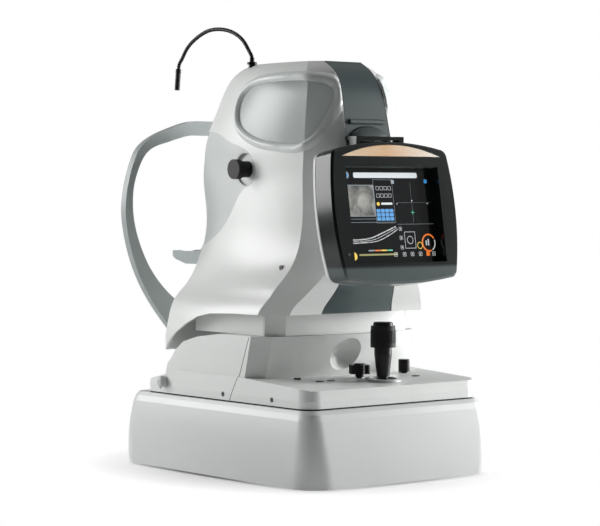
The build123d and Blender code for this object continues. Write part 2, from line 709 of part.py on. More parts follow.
shell_left = rest & box(-200, -SEAM / 2, -250, 250, 100, 650)
shell_right = mirror(shell_left, about=Plane.YZ)
shell_left -= rod_x(-130, -70, KNOB_Y, KNOB_Z, 25.4)
HEAD_SPOT = (-80.0, 292.0)
for sx in (-1, 1):
    hole = (
        rod_x(sx * 90, sx * 140, HEAD_SPOT[0], HEAD_SPOT[1], 1.8)
        + rod_x(sx * 104.5, sx * 140, HEAD_SPOT[0], HEAD_SPOT[1], 3.6)
    )
    post = rod_x(sx * 92, sx * 104.5, HEAD_SPOT[0], HEAD_SPOT[1], 4.5)
    if sx < 0:
        shell_left = shell_left + post - hole
    else:
        shell_right = shell_right + post - hole
lamp_hole = rod(LAMP_X, 58, 530, 600, 5.05)
shell_left -= lamp_hole
save(nose, "patient_cover")
save(panel_left, "side_panel_left")
save(panel_right, "side_panel_right")

# ---------------------------------------------------------------- optics inside the head
bench = box(-76, 76, -70, 60, 250, 256)
for sx in (-1, 1):
    bench += rod(sx * ROD_X, ROD_Y, 206, 262, 11) - rod(sx * ROD_X, ROD_Y, 200, 270, ROD_R + RUN)
    bench -= rod(sx * ROD_X, ROD_Y, 200, 270, ROD_R + RUN)
bench += rod(0, ROD_Y, 222, 262, 11)
bench -= rod(0, ROD_Y, 200, 270, 6.05)
bench += box(-38, 38, -70, -62, 256, 500) + box(-4, 4, -62, 40, 256, 400)
bench += box(-30, 30, -62, 96, 400, 406)
bench -= rod(0, ROD_Y, 256, 282, 9.0)
bench += (
    box(-62, -38, 44, 72, 538, 544.6) + box(-54, -46, 52, 64, 400, 540)
    + box(-54, -20, 52, 64, 400, 406)
)
for sx in (-1, 1):
    bench += box(sx * 88.5, sx * 76, HEAD_SPOT[0] - 6, HEAD_SPOT[0] + 14, 250, 298)
    bench -= rod_x(sx * 70, sx * 95, HEAD_SPOT[0], HEAD_SPOT[1], 1.5)
bench += box(-34, 34, -136.8, -70, 466, 470.8)
save(bench, "optical_bench")

barrel = rod_y(0, 60, 150, WINDOW_Z, 20.0)
shroud = Pos(
    0, (118 + SHROUD_Y) / 2, WINDOW_Z) * Rot(-90, 0, 0) * Cone(SHROUD_R, SHROUD_R - 2.0,
    SHROUD_Y - 118
)
shroud = fillet(shroud.edges().group_by(Axis.Y)[-1], 3.0)
shroud -= Pos(0, 158, WINDOW_Z) * Rot(-90, 0, 0) * Cone(24.0, 49.0, 24.2)
shroud -= rod_y(0, 110, 148, WINDOW_Z, SHROUD_R - 6)
barrel = barrel + shroud
barrel += box(-12, 12, 62, 92, 406.1, 424)
barrel -= rod_y(0, 50, 160, WINDOW_Z, 17.0)
save(barrel, "objective_barrel")
lens = rod_y(0, 132, 150, WINDOW_Z, 16.9) & (Pos(0, 96, WINDOW_Z) * Sphere(53))
save(lens, "objective_lens")
camera = box(-26, 26, -58, 30, 406.1, 468) + rod_y(0, 30, 56, WINDOW_Z, 13.0)
camera = camera - rod_y(0, 46, 60, WINDOW_Z, 10.0)
save(camera, "camera_unit")

# ---------------------------------------------------------------- display
def tilt(shape):
    """Place a piece built square-on into the leaning display."""
    return Pos(*DISPLAY_POS) * Rot(-DISPLAY_TILT, 0, 0) * shape


def bowed(half_top, half_mid, half_bot, top, shoulder, bottom, low, r):
    """Screen surround outline with bowed sides, seen from the operator."""
    edges = [
        ThreePointArc((-half_top, shoulder), (0, top), (half_top, shoulder)),
        ThreePointArc((half_top, shoulder), (half_mid, -12), (half_bot, bottom)),
        ThreePointArc((half_bot, bottom), (0, low), (-half_bot, bottom)),
        ThreePointArc((-half_bot, bottom), (-half_mid, -12), (-half_top, shoulder)),
    ]
    face = make_face(Curve() + edges)
    return fillet(face.vertices(), r)


def upright(face, y0, depth):
    """Extrude an operator-view outline from y0 towards the patient."""
    plane = Plane(origin=(0, y0, 0), x_dir=(1, 0, 0), z_dir=(0, -1, 0))
    return extrude(plane * face, -depth)


bezel = upright(bowed(103, 111.0, 100, 98, 86, -89, -97, 12), 0, BEZEL_D)
bezel = chamfer(bezel.edges().group_by(Axis.Y)[0], 3.0)
bezel = bezel - upright(bowed(98, 106.0, 95, 93, 81, -84, -92, 9), 3.0 + 11.5, BEZEL_D)
bezel -= box(-83, 83, -5, 20, -68.5, 63.5)
bezel -= box(-46, 46, 15.5, 50, 77, 110)
HINGE_LOCAL = (27.9, 92.5)
save(tilt(bezel), "display_bezel")

window = box(-92, 92, 14.8, 16.3, -72, 68)
save(tilt(window), "display_window")
lcd = box(-90, 90, 16.6, 24, -71, 67)
save(tilt(lcd), "lcd_panel")

back = upright(bowed(94, 101, 90, 90, 80, -82, -88, 12), BEZEL_D + 0.3, BACK_D - 0.3)
back = fillet(back.edges().group_by(Axis.Y)[-1], 5.0)
back -= upright(bowed(88, 95, 84, 84, 74, -76, -82, 10), BEZEL_D - 1, 7.5)
back -= box(-49, 49, 20, 60, 66, 110)
back += (
    box(-52, 52, BEZEL_D + 0.3, BEZEL_D + 8.0, 63, 66)
    + box(-52, -49, BEZEL_D + 0.3, BEZEL_D + 7.0, 63, 84)
    + box(49, 52, BEZEL_D + 0.3, BEZEL_D + 7.0, 63, 84)
)
back += (
    upright(bowed(97.5, 105.5, 94.5, 76.8, 75.5, -83.6, -91.6, 9), BEZEL_D - 3.4, 3.9)
    - box(-60, 60, 20, 60, -50, 30)
)
back += box(-33.5, 33.5, HINGE_LOCAL[0] - 3.3, BEZEL_D + 1.0, 62, HINGE_LOCAL[1])
back += rod_x(-33.5, 33.5, HINGE_LOCAL[0], HINGE_LOCAL[1], 6.5)
back += rod_x(-43.5, 43.5, HINGE_LOCAL[0], HINGE_LOCAL[1], PIN_R)
for i in range(9):
    back -= box(-60 + 15 * i - 5, -60 + 15 * i + 5, 30, 60, -66, -58)
back = tilt(back)
save(back, "display_back")

bracket = box(-43, 43, -165, -141.4, 467, 472)
for sx in (-1, 1):
    bracket += box(sx * 35, sx * 43, -165, -150, HINGE_Z - 6, 468)
bracket -= rod_x(-50, 50, HINGE_Y, HINGE_Z, PIN_R + RUN)
bracket += box(-33, 33, -150, -137, 467, 471)
save(bracket, "hinge_bracket")
spine_slot = box(-33.6, 33.6, -150, -130, 465.6, 471.6)
spine -= spine_slot
save(spine, "spine_cover")
save(shell_left, "head_shell_left")
save(shell_right, "head_shell_right")

head_screws = None
for sx in (-1, 1):
    one = (
        rod_x(sx * 104.6, sx * 107, HEAD_SPOT[0], HEAD_SPOT[1], 3.3)
        + rod_x(sx * 84, sx * 105, HEAD_SPOT[0], HEAD_SPOT[1], 1.49)
    )
    one -= box(
        sx * 106, sx * 108, HEAD_SPOT[0] - 2.2, HEAD_SPOT[0] + 2.2, HEAD_SPOT[1] - 0.4,
        HEAD_SPOT[1] + 0.4
    )
    one -= box(
        sx * 106, sx * 108, HEAD_SPOT[0] - 0.4, HEAD_SPOT[0] + 0.4, HEAD_SPOT[1] - 2.2,
        HEAD_SPOT[1] + 2.2
    )
    head_screws = one if head_screws is None else head_screws + one
save(head_screws, "head_screws")

knob = rod_x(-109.5, -99.5, KNOB_Y, KNOB_Z, 14.0) + rod_x(-100, -84.6, KNOB_Y, KNOB_Z, 11.6)
knob += rod_x(-85, -66, KNOB_Y, KNOB_Z, 4.0)
for i in range(20):
    a = math.radians(18 * i)
    knob -= rod_x(-108.5, -100.5, KNOB_Y + 14.2 * math.cos(a), KNOB_Z + 14.2 * math.sin(a), 0.7)
save(knob, "side_knob")

# ---------------------------------------------------------------- gooseneck lamp
GOOSE = [
    (58, 588), (64, 597), (76, 611), (92, 622), (112, 629.5), (138, 633.5), (160, 633), (181, 628),
    (202, 619), (220, 606), (232, 592), (239, 578)
]
points = [(LAMP_X, y, z) for y, z in GOOSE]
path = Spline(*points, tangents=((0, 0.35, 1), (0, 0.12, -1)))
tube = sweep(Plane(origin=path @ 0, z_dir=path % 0) * Circle(2.4), path=path)
lamp_base = (
    rod(LAMP_X, 58, 545, 579, 5.0) + rod(LAMP_X, 58, 578.6, 582, 7.0)
    + rod(LAMP_X, 58, 545, 588.6, 3.4)
)
save(tube + lamp_base, "gooseneck")
end = path @ 1
lamp_plane = Plane(origin=end, z_dir=path % 1)
lamp = lamp_plane * (Pos(0, 0, 1.2) * Cylinder(4.2, 6.0) + Pos(0, 0, 17) * Cylinder(3.9, 26))
lamp -= lamp_plane * (Pos(0, 0, 29.5) * Cylinder(2.8, 4)) + tube
save(lamp, "lamp_head")
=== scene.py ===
"""Looks of the table-top eye-examination instrument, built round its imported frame."""
import math

import bmesh
import bpy
from mathutils import Matrix, Vector
from mathutils.bvhtree import BVHTree


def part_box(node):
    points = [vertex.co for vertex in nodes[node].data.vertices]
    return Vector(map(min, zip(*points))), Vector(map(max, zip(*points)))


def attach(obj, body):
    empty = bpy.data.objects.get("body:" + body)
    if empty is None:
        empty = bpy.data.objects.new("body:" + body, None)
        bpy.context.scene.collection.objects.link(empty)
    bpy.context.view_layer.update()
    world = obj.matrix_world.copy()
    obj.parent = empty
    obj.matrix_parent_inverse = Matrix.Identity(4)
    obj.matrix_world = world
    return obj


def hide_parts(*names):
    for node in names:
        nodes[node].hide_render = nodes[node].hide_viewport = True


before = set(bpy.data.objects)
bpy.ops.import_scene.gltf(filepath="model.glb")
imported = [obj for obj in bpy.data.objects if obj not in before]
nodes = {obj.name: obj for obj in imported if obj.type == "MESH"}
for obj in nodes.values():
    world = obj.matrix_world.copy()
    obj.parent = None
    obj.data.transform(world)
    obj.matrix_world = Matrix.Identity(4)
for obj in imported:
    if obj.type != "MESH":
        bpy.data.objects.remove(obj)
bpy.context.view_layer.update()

# the frame's origin lies this far along Y from the centre of the base
BASE_LOW, BASE_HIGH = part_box("base_shell")
BASE_Y = (BASE_LOW.y + BASE_HIGH.y) / 2
DISPLAY = Matrix.Translation((0, -0.200 + BASE_Y, 0.368)) @ Matrix.Rotation(math.radians(-9), 4, "X")


# ---------------------------------------------------------------- camera, floor and light
def look(direction):
    """Rotation whose -Z axis points along direction."""
    back = -direction.normalized()
    right = Vector((0, 0, 1)).cross(back).normalized()
    return Matrix((right, back.cross(right), back)).transposed()


AZIMUTH = math.radians(-38.8)
PITCH = math.radians(1.909)
FORWARD = Vector((
    -math.sin(AZIMUTH) * math.cos(PITCH),
    math.cos(AZIMUTH) * math.cos(PITCH),
    -math.sin(PITCH)))

camera_data = bpy.data.cameras.new("camera")
camera_data.lens = 131.4
camera_data.sensor_width = 36.0
camera = bpy.data.objects.new("camera", camera_data)
bpy.context.scene.collection.objects.link(camera)
camera.matrix_world = Matrix.Translation((-1.9693, -2.4388 + BASE_Y, 0.3987)) @ look(FORWARD).to_4x4()
camera_data.clip_end = 60
bpy.context.scene.camera = camera


def area_light(name, place, target, width, height, watts):
    """Soft box facing target."""
    data = bpy.data.lights.new(name, "AREA")
    data.shape = "RECTANGLE"
    data.size = width
    data.size_y = height
    data.energy = watts
    light = bpy.data.objects.new(name, data)
    bpy.context.scene.collection.objects.link(light)
    light.matrix_world = Matrix.Translation(place) @ look(Vector(target) - Vector(place)).to_4x4()
    light.visible_camera = False
    return light


area_light("box_left", (-1.15, 1.35, 0.9), (0, 0, 0.35), 0.8, 1.1, 22.5)
area_light("box_right", (1.75, -0.8, 0.55), (0, -0.1, 0.25), 0.8, 1.3, 55)
area_light("box_top", (0.2, 0.5, 2.4), (0, 0, 0.3), 1.6, 1.6, 5)
bpy.context.scene.view_settings.view_transform = "Standard"


def nodes_of(tree):
    tree.nodes.clear()
    return tree.nodes, tree.links


world = bpy.data.worlds.new("studio")
bpy.context.scene.world = world
world.use_nodes = True
nt, ln = nodes_of(world.node_tree)
out = nt.new("ShaderNodeOutputWorld")
seen = nt.new("ShaderNodeBackground")
lit = nt.new("ShaderNodeBackground")
mix = nt.new("ShaderNodeMixShader")
path = nt.new("ShaderNodeLightPath")
coord = nt.new("ShaderNodeTexCoord")
dot = nt.new("ShaderNodeVectorMath")
dot.operation = "DOT_PRODUCT"
dot.inputs[1].default_value = -FORWARD
ramp = nt.new("ShaderNodeValToRGB")
ramp.color_ramp.elements[0].position = 0.1
ramp.color_ramp.elements[0].color = (1, 1, 1, 1)
ramp.color_ramp.elements[1].position = 0.62
ramp.color_ramp.elements[1].color = (0.03, 0.04, 0.036, 1)
seen.inputs["Color"].default_value = (1, 1, 1, 1)
seen.inputs["Strength"].default_value = 1.0
lit.inputs["Strength"].default_value = 0.28
ln.new(coord.outputs["Generated"], dot.inputs[0])
ln.new(dot.outputs["Value"], ramp.inputs["Fac"])
ln.new(ramp.outputs["Color"], lit.inputs["Color"])
ln.new(path.outputs["Is Camera Ray"], mix.inputs["Fac"])
ln.new(lit.outputs["Background"], mix.inputs[1])
ln.new(seen.outputs["Background"], mix.inputs[2])
ln.new(mix.outputs["Shader"], out.inputs["Surface"])


# ---------------------------------------------------------------- materials
GRAIN = 700.0
GLOSS_SPREAD = 0.06


def material(name, colour, roughness=0.4, metallic=0.0, coat=0.0, coat_rough=0.1, bump=0.04, mottle=0.03,
             specular=0.5, transmission=0.0, emission=None, strength=0.0):
    """Moulded or machined surface with fine grain, slight colour change and uneven gloss."""
    mat = bpy.data.materials.new(name)
    mat.use_nodes = True
    nt, ln = nodes_of(mat.node_tree)
    out = nt.new("ShaderNodeOutputMaterial")
    shader = nt.new("ShaderNodeBsdfPrincipled")
    ln.new(shader.outputs["BSDF"], out.inputs["Surface"])
    shader.inputs["Metallic"].default_value = metallic
    shader.inputs["Coat Weight"].default_value = coat
    shader.inputs["Coat Roughness"].default_value = coat_rough
    shader.inputs["Specular IOR Level"].default_value = specular
    shader.inputs["IOR"].default_value = 1.5
    shader.inputs["Alpha"].default_value = 1.0
    shader.inputs["Transmission Weight"].default_value = transmission
    coord = nt.new("ShaderNodeTexCoord")
    cloud = nt.new("ShaderNodeTexNoise")
    cloud.inputs["Scale"].default_value = 9.0
    cloud.inputs["Detail"].default_value = 5.0
    ln.new(coord.outputs["Object"], cloud.inputs["Vector"])
    tone = nt.new("ShaderNodeMix")
    tone.data_type = "RGBA"
    dark = [c * (1 - mottle) for c in colour]
    light = [min(1.0, c * (1 + mottle)) for c in colour]
    tone.inputs["A"].default_value = (*dark, 1)
    tone.inputs["B"].default_value = (*light, 1)
    ln.new(cloud.outputs["Fac"], tone.inputs["Factor"])
    ln.new(tone.outputs["Result"], shader.inputs["Base Color"])
    gloss = nt.new("ShaderNodeMapRange")
    gloss.inputs["To Min"].default_value = max(0.02, roughness - GLOSS_SPREAD)
    gloss.inputs["To Max"].default_value = min(1.0, roughness + GLOSS_SPREAD)
    ln.new(cloud.outputs["Fac"], gloss.inputs["Value"])
    ln.new(gloss.outputs["Result"], shader.inputs["Roughness"])
    if bump > 0:
        fine = nt.new("ShaderNodeTexNoise")
        fine.inputs["Scale"].default_value = GRAIN
        fine.inputs["Detail"].default_value = 3.0
        ln.new(coord.outputs["Object"], fine.inputs["Vector"])
        relief = nt.new("ShaderNodeBump")
        relief.inputs["Strength"].default_value = bump
        relief.inputs["Distance"].default_value = 0.0004
        ln.new(fine.outputs["Fac"], relief.inputs["Height"])
        ln.new(relief.outputs["Normal"], shader.inputs["Normal"])
    if emission:
        shader.inputs["Emission Color"].default_value = (*emission, 1)
        shader.inputs["Emission Strength"].default_value = strength
    return mat


WHITE = material("white_cover", (0.80, 0.815, 0.80), roughness=0.34, coat=0.15, coat_rough=0.25)
BASE_WHITE = material("base_cover", (0.72, 0.74, 0.73), roughness=0.36, coat=0.15, coat_rough=0.25)
LIGHT_GREY = material("light_grey_cover", (0.60, 0.63, 0.62), roughness=0.38)
PANEL_GREY = material("panel_grey", (0.33, 0.37, 0.365), roughness=0.32, coat=0.2, coat_rough=0.2)
RIM = material("panel_rim_light", (0.72, 0.75, 0.745), roughness=0.33)
HOOP = material("hoop_paint", (0.36, 0.40, 0.395), roughness=0.42)
STRIP = material("strip_dark", (0.055, 0.078, 0.08), roughness=0.33, coat=0.25, coat_rough=0.2)
BEZEL = material("bezel_dark", (0.009, 0.012, 0.012), roughness=0.2, bump=0.05, specular=0.35)
BLACK = material("black_plastic", (0.005, 0.0055, 0.006), roughness=0.3, specular=0.3)
# black rubber for the feet, grip and knob; also the dark of the painted shade in the gaps under and between
# the covers
RUBBER_AND_GAP_SHADE = material("black_rubber_and_gap_shade", (0.006, 0.006, 0.0065), roughness=0.5, bump=0.15, specular=0.3)
STEEL = material("steel", (0.55, 0.56, 0.57), roughness=0.3, metallic=1.0)
PLATE = material("zinc_plate", (0.42, 0.43, 0.44), roughness=0.42, metallic=1.0)
ALU = material("aluminium", (0.70, 0.71, 0.72), roughness=0.36, metallic=1.0)
BRASS = material("brass", (0.70, 0.52, 0.24), roughness=0.32, metallic=1.0)
BOXED = material("boxed_unit", (0.10, 0.12, 0.115), roughness=0.5)
LENS = material("lens_glass", (0.25, 0.32, 0.42), roughness=0.03, transmission=0.6, bump=0, specular=0.8)
KEY = material("key_grey", (0.10, 0.11, 0.11), roughness=0.35)
SCREW = material("screw_dark", (0.09, 0.095, 0.095), roughness=0.35, metallic=0.7)
PAD = material("soft_pad", (0.12, 0.13, 0.135), roughness=0.6, bump=0.15)
CUP = material("chin_cup_grey", (0.34, 0.38, 0.38), roughness=0.45)
LCD_GLASS = material("screen_off", (0.010, 0.011, 0.012), roughness=0.12, bump=0)


def node_of(mat, kind):
    """The material's own node of that kind."""
    return next(n for n in mat.node_tree.nodes if n.type == kind)


def smooth_step(mat, source, axis, start, end):
    """Share from 0 at start to 1 at end, along one axis of the object's normals or places."""
    nt = mat.node_tree
    split = nt.nodes.new("ShaderNodeSeparateXYZ")
    nt.links.new(node_of(mat, "TEX_COORD").outputs[source], split.inputs["Vector"])
    step = nt.nodes.new("ShaderNodeMapRange")
    step.interpolation_type = "SMOOTHSTEP"
    step.inputs["From Min"].default_value = start
    step.inputs["From Max"].default_value = end
    nt.links.new(split.outputs[axis], step.inputs["Value"])
    return step.outputs["Result"]


def painted_light_tone(mat, share, colour):
    """Blend the material's colour toward another one by share; used here to paint highlights and reflections
    into the colour.
    """
    nt = mat.node_tree
    tone = node_of(mat, "MIX")
    blend = nt.nodes.new("ShaderNodeMix")
    blend.data_type = "RGBA"
    blend.inputs["B"].default_value = (*colour, 1)
    nt.links.new(share, blend.inputs["Factor"])
    nt.links.new(tone.outputs["Result"], blend.inputs["A"])
    nt.links.new(blend.outputs["Result"], node_of(mat, "BSDF_PRINCIPLED").inputs["Base Color"])


# painted reflection: the bezel material (also on the hinge bracket) is made lighter on the bevel that faces
# down and on the band under the screen, where the sheen of the light falls
REFLECTION_BAND_TOP = (DISPLAY @ Vector((0, 0, -0.0715))).z - nodes["display_bezel"].matrix_world.translation.z
painted_reflection_share = BEZEL.node_tree.nodes.new("ShaderNodeMath")
painted_reflection_share.operation = "MAXIMUM"
for slot_at, share in enumerate((smooth_step(BEZEL, "Normal", "Z", -0.12, -0.55),
                                 smooth_step(BEZEL, "Object", "Z", REFLECTION_BAND_TOP, REFLECTION_BAND_TOP - 0.006))):
    BEZEL.node_tree.links.new(share, painted_reflection_share.inputs[slot_at])
painted_light_tone(BEZEL, painted_reflection_share.outputs["Value"], (0.10, 0.12, 0.12))

# painted light: the side panels' colour is made lighter on the facet that faces forward, which the lamps
# leave dark
painted_light_tone(PANEL_GREY, smooth_step(PANEL_GREY, "Normal", "Y", -0.08, -0.3), (0.74, 0.79, 0.78))

LOOKS = (
    (BASE_WHITE, ("base_shell",)),
    (PLATE, ("base_plate", "stage_tray")),
    (RUBBER_AND_GAP_SHADE, ("rubber_feet", "joystick_grip", "side_knob")),
    (STEEL, (
        "base_screws", "chin_guide", "chin_rod", "chin_screw", "x_axle", "lift_rods", "joystick_gimbal",
        "lift_screw")),
    (BRASS, ("stage_racks",)),
    (BLACK, (
        "friction_plate", "power_inlet", "switch_case", "power_rocker", "joystick_stem", "joystick_button",
        "lock_knob", "dimmer_knob", "push_button_3", "push_button_4", "objective_barrel", "gooseneck",
        "lamp_head")),
    (BOXED, ("power_supply", "chin_motor", "lift_motor", "camera_unit")),
    (HOOP, ("face_hoop",)),
    (PAD, ("forehead_pad",)),
    (CUP, ("chin_cup",)),
    (ALU, ("cross_beam", "carriage_chassis", "optical_bench")),
    (WHITE, (
        "deck_cover", "side_cover_left", "side_cover_right", "neck_cover", "head_shell_left",
        "head_shell_right")),
    (SCREW, ("deck_screws", "head_screws")),
    (LIGHT_GREY, ("joystick_ring", "transport_knob", "patient_cover", "display_back")),
    (KEY, ("push_button_1", "push_button_2")),
    (PANEL_GREY, ("side_panel_left", "side_panel_right")),
    (STRIP, ("spine_cover",)),
    (LENS, ("objective_lens",)),
    (BEZEL, ("hinge_bracket", "display_bezel")),
    (LCD_GLASS, ("lcd_panel", "display_window")),
)
for mat, names in LOOKS:
    for name in names:
        mesh = nodes[name].data
        mesh.materials.clear()
        mesh.materials.append(mat)


# ---------------------------------------------------------------- helpers for added pieces
def tree_of(*names):
    """Search tree over CAD nodes, in the row frame."""
    points = []
    faces = []
    for name in names:
        node = nodes[name]
        start = len(points)
        points += [node.matrix_world @ v.co for v in node.data.vertices]
        faces += [[start + i for i in p.vertices] for p in node.data.polygons]
    return BVHTree.FromPolygons(points, faces)


def plate_faces(rows, width):
    """Faces of a plate whose front points, rows by width, come first and whose back points follow."""
    half = rows * width
    faces = []
    for i in range(rows - 1):
        for j in range(width - 1):
            a = i * width + j
            faces.append([a, a + 1, a + width + 1, a + width])
            faces.append([half + a, half + a + width, half + a + width + 1, half + a + 1])
    for i in range(rows - 1):
        for j in (0, width - 1):
            a = i * width + j
            faces.append([a, a + width, half + a + width, half + a])
    for j in range(width - 1):
        for i in (0, rows - 1):
            a = i * width + j
            faces.append([a, a + 1, half + a + 1, half + a])
    return faces


def swept_faces(count, width, closed=False, first=0):
    """Faces of a profile of width points that is repeated count times, in a closed ring or along a path."""
    faces = []
    for i in range(count if closed else count - 1):
        here = first + i * width
        there = first + (i + 1) % count * width
        for k in range(width):
            m = (k + 1) % width
            faces.append([here + k, here + m, there + m, there + k])
    return faces


def end_caps(count, width):
    """Faces that close both ends of a swept profile."""
    return [list(range(width)), [(count - 1) * width + k for k in reversed(range(width))]]


def piece(name, points, faces, mat, body, smooth=True):
    """Mesh object that rides on a CAD body."""
    mesh = bpy.data.meshes.new(name)
    mesh.from_pydata([tuple(p) for p in points], [], faces)
    bm = bmesh.new()
    bm.from_mesh(mesh)
    bmesh.ops.remove_doubles(bm, verts=bm.verts, dist=1e-7)
    bmesh.ops.recalc_face_normals(bm, faces=bm.faces)
    bm.to_mesh(mesh)
    bm.free()
    for polygon in mesh.polygons:
        polygon.use_smooth = smooth
    mesh.materials.append(mat)
    obj = bpy.data.objects.new(name, mesh)
    bpy.context.scene.collection.objects.link(obj)
    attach(obj, body)
    return obj


# ---------------------------------------------------------------- picture on the screen
GLASS = 14.8


class Ink:
    """Thin flat shapes in millimetres on the screen, x to the right and z up, gathered into one piece."""

    def __init__(self, lift):
        self.points = []
        self.faces = []
        self.front = GLASS - 0.06 - lift - 0.12
        self.back = GLASS - 0.06 - lift

    def shape(self, outline):
        n = len(outline)
        start = len(self.points)
        for depth in (self.front, self.back):
            self.points += [DISPLAY @ Vector((x / 1000, depth / 1000, z / 1000)) for x, z in outline]
        self.faces.append([start + i for i in range(n)])
        self.faces.append([start + n + i for i in reversed(range(n))])
        for i in range(n):
            j = (i + 1) % n
            self.faces.append([start + i, start + n + i, start + n + j, start + j])

    def bar(self, x0, x1, z0, z1, corner=0.6):
        """Rectangle with cut corners."""
        c = min(corner, (x1 - x0) / 3, (z1 - z0) / 3)
        self.shape([
            (x0 + c, z0), (x1 - c, z0), (x1, z0 + c), (x1, z1 - c),
            (x1 - c, z1), (x0 + c, z1), (x0, z1 - c), (x0, z0 + c)])

    def disc(self, x, z, r):
        angles = [i * math.tau / 28 for i in range(28)]
        self.shape([(x + r * math.cos(a), z + r * math.sin(a)) for a in angles])

    def ring(self, x, z, r, width, start=0, end=360):
        """Arc of a ring between two angles in degrees."""
        count = 24
        angles = [math.radians(start + (end - start) * i / count) for i in range(count + 1)]
        for a, b in zip(angles, angles[1:]):
            corners = [(r - width / 2, a), (r + width / 2, a), (r + width / 2, b), (r - width / 2, b)]
            self.shape([(x + q * math.cos(t), z + q * math.sin(t)) for q, t in corners])

    def line(self, path, width):
        """Band of even width along a path."""
        for (xa, za), (xb, zb) in zip(path, path[1:]):
            length = math.hypot(xb - xa, zb - za)
            nx = -(zb - za) / length * width / 2
            nz = (xb - xa) / length * width / 2
            self.shape([(xa - nx, za - nz), (xb - nx, zb - nz), (xb + nx, zb + nz), (xa + nx, za + nz)])

    def frame(self, x0, x1, z0, z1, width):
        self.line([(x0, z0), (x1, z0), (x1, z1), (x0, z1), (x0, z0)], width)

    def make(self, name, colour, strength):
        mat = material(name, [c * 0.4 for c in colour], bump=0, emission=colour, strength=strength)
        piece(name, self.points, self.faces, mat, "display", smooth=False)


def smooth_path(points, count=10):
    """Points along a smooth curve through the given ones."""
    out = []
    for i in range(len(points) - 1):
        a = points[max(i - 1, 0)]
        b = points[i]
        c = points[i + 1]
        d = points[min(i + 2, len(points) - 1)]
        for k in range(count):
            t = k / count
            out.append(tuple(
                0.5 * (2 * b[j] + (c[j] - a[j]) * t + (2 * a[j] - 5 * b[j] + 4 * c[j] - d[j]) * t * t
                       + (3 * b[j] - a[j] - 3 * c[j] + d[j]) * t ** 3) for j in range(len(b))))
    out.append(tuple(points[-1]))
    return out


white = Ink(0.2)
white.bar(-59, 56, 50, 57.4, 1.5)
for z in (35.9, 25.7):
    for i in range(4):
        white.frame(-21 + 7.2 * i, -16 + 7.2 * i, z - 2.4, z + 2.4, 0.35)
white.bar(-14, 6, 13, 16)
for x, z, r in ((42, 18.4, 0.9), (14.4, 14.3, 0.8), (70, 14.3, 0.8)):
    white.disc(x, z, r)
for z in (-20.4, -32.8, -46.0):
    white.frame(13.6, 18.4, z - 2.4, z + 2.4, 0.35)
    white.bar(15, 17, z - 1, z + 1)
white.frame(22.4, 41.3, -47.3, -24.8, 0.5)
white.ring(31.8, -36, 5.2, 0.6)
white.ring(65.5, -40.2, 11.5, 1.6, -60, 20)
white.bar(60, 62, -44, -37)
white.bar(64, 66, -44, -35)
for x in (3.4, 19.0, 33.4, 48.4, 72.9):
    white.frame(x - 2.6, x + 2.6, -58, -53, 0.5)
    white.bar(x - 1.0, x + 1.0, -56.4, -54.6)
white.line([(-80.2, -60), (-80.2, 56)], 0.35)
white.make("screen_white", (0.80, 0.86, 0.88), 0.6)

grey = Ink(0.0)
grey.bar(7.5, 13, 42, 47.4)
grey.line([(-78, -6.3), (8, -6.3)], 0.4)
grey.line([(-78, -10.9), (8, -10.9)], 0.4)
grey.frame(-78.4, -25.6, -2.4, 40, 0.8)
grey.bar(-44.8, -34, -50.4, -48.6)
grey.disc(-71.6, 53.8, 5.0)
grey.frame(-25, 9, -12, 47.6, 0.3)
grey.line([(12, -14), (78, -14)], 0.3)
grey.line([(41.8, -12), (41.8, 44)], 0.15)
grey.line([(14, 16), (76, 16)], 0.15)
grey.make("screen_grey", (0.32, 0.38, 0.42), 0.6)

blue = Ink(0.1)
blue.bar(68, 73.4, 42.8, 48.2)
for i in range(4):
    for k in range(3):
        blue.bar(-23.6 + 7.8 * i, -16.8 + 7.8 * i, -8.8 + 5.6 * k, -4.0 + 5.6 * k)
blue.disc(-71.6, 53.8, 3.4)
blue.make("screen_blue", (0.05, 0.28, 0.62), 0.8)

teal = Ink(0.1)
teal.line([(38.5, 2.2), (45, 2.2)], 0.7)
teal.line([(41.8, -1.0), (41.8, 5.4)], 0.7)
teal.bar(-10.5, -1.6, -50.4, -48.6)
teal.make("screen_teal", (0.08, 0.55, 0.36), 0.8)

amber = Ink(0.1)
amber.disc(-19.3, 14.3, 2.6)
amber.ring(49, -43.8, 4.4, 0.9)
amber.disc(-71.4, -57, 5.6)
amber.bar(-22.4, -11.6, -50.4, -48.6)
amber.make("screen_amber", (0.85, 0.60, 0.06), 0.8)

orange = Ink(0.1)
orange.ring(65.5, -40.2, 11.5, 2.2, 30, 290)
orange.bar(59.2, 65.6, -58.4, -52.4)
orange.bar(-33.4, -23.2, -50.4, -48.6)
orange.make("screen_orange", (0.85, 0.20, 0.03), 0.85)

olive = Ink(0.0)
olive.bar(-61.9, 6.6, -56.4, -54)
olive.make("screen_olive", (0.34, 0.33, 0.10), 0.6)


def patterned(name, build):
    """Glowing procedural picture. build wires its colour from position in millimetres on the screen."""
    mat = bpy.data.materials.new(name)
    mat.use_nodes = True
    nt, ln = nodes_of(mat.node_tree)
    out = nt.new("ShaderNodeOutputMaterial")
    shader = nt.new("ShaderNodeBsdfPrincipled")
    shader.inputs["Roughness"].default_value = 0.3
    shader.inputs["Emission Strength"].default_value = 0.5
    ln.new(shader.outputs["BSDF"], out.inputs["Surface"])
    coord = nt.new("ShaderNodeTexCoord")
    colour = build(nt, ln, coord.outputs["Object"])
    ln.new(colour, shader.inputs["Base Color"])
    ln.new(colour, shader.inputs["Emission Color"])
    return mat


